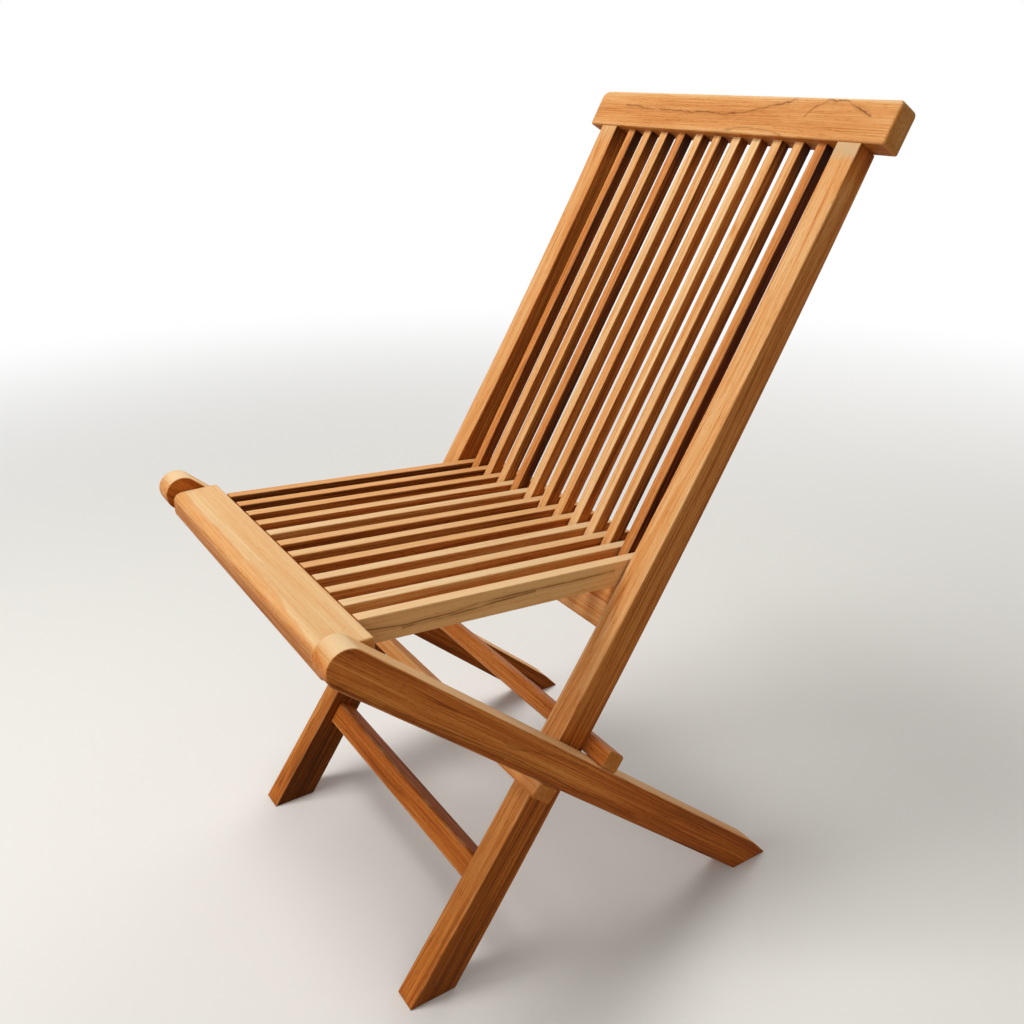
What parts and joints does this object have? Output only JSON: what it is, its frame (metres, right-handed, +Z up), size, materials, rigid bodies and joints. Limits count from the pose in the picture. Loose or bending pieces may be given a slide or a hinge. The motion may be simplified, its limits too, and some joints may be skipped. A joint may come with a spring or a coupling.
{
  "type": "folding chair",
  "caption": "Folding slatted wooden chair without arms: leaned back frame, crossed rear legs and a slatted seat that folds flat into the back.",
  "frame": {"origin": "on the floor, under the middle of the open chair's box", "axes": "+Z up, the sitter looks along -Y, the sitter's left is +X"},
  "size_m": [0.487, 0.6668, 0.8828],
  "materials": {
    "teak_frame": "oiled, fine sanded",
    "teak_slats": "oiled, fine sanded",
    "teak_rails": "oiled, fine sanded",
    "dowels": "bare",
    "brass": "satin"
  },
  "bodies": {
    "back_frame": {"stile_left": "teak_frame", "stile_right": "teak_frame", "top_rail": "teak_rails", "lower_back_rail": "teak_frame", "front_stretcher": "teak_frame", "back_slat_01": "teak_slats", "back_slat_02": "teak_slats", "back_slat_03": "teak_slats", "back_slat_04": "teak_slats", "back_slat_05": "teak_slats", "back_slat_06": "teak_slats", "back_slat_07": "teak_slats", "back_slat_08": "teak_slats", "back_slat_09": "teak_slats", "back_slat_10": "teak_slats", "back_slat_11": "teak_slats", "crossing_pin_left": "brass", "crossing_washer_left": "brass", "crossing_pin_right": "brass", "crossing_washer_right": "brass"},
    "leg_frame": {"leg_left": "teak_frame", "leg_right": "teak_frame", "upper_stop_bar": "teak_frame", "lower_stop_bar": "teak_frame", "upper_bar_dowel_left": "dowels", "upper_bar_dowel_right": "dowels", "lower_bar_dowel_left": "dowels", "lower_bar_dowel_right": "dowels", "seat_pin_left": "brass", "seat_pin_right": "brass"},
    "seat": {"seat_front_rail": "teak_rails", "seat_rear_rail": "teak_frame", "seat_slat_01": "teak_slats", "seat_slat_02": "teak_slats", "seat_slat_03": "teak_slats", "seat_slat_04": "teak_slats", "seat_slat_05": "teak_slats", "seat_slat_06": "teak_slats", "seat_slat_07": "teak_slats", "seat_slat_08": "teak_slats", "seat_slat_09": "teak_slats", "seat_slat_10": "teak_slats", "seat_slat_11": "teak_slats", "seat_slat_12": "teak_slats"}
  },
  "joints": [
    {"name": "fold", "type": "hinge", "parent": "back_frame", "child": "leg_frame", "pos_m": [0, -0.06835, 0.24074], "axis": [-1, 0, 0], "range_deg": [0, 72]},
    {"name": "seat_turn", "type": "hinge", "parent": "leg_frame", "child": "seat", "pos_m": [0, -0.30298, 0.44956], "axis": [1, 0, 0], "range_deg": [0, 124]}
  ],
  "couplings": [
    {"joint": "seat_turn", "follows": "fold", "ratio": 1.72}
  ]
}
